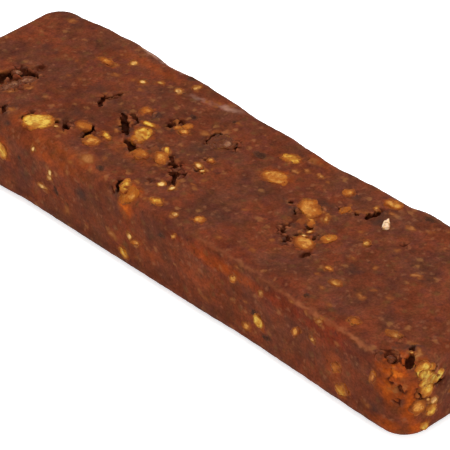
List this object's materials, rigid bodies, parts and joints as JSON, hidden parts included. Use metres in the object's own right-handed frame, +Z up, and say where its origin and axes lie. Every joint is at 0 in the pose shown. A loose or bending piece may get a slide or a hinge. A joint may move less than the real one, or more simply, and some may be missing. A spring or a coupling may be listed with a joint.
{
  "type": "protein bar",
  "caption": "Unwrapped pressed bar of date and cocoa paste with chopped nuts, rounded edges, small cracks and a flat underside.",
  "frame": {"origin": "middle of the bar's footprint, on the surface it lies on", "axes": "+X along the bar to the end that is nearer in the picture, +Z up out of the top face, -Y out of the long side that faces the camera"},
  "size_m": [0.1, 0.0296, 0.0139],
  "materials": {
    "paste": "dense sticky date and cocoa paste, red-brown, with a soft sheen",
    "nut": "chopped nut, amber to cream, half clear where the paste wets it",
    "fleck": "dark cocoa and fruit-skin flecks"
  },
  "bodies": {
    "root": {"bar": "paste"}
  },
  "joints": []
}
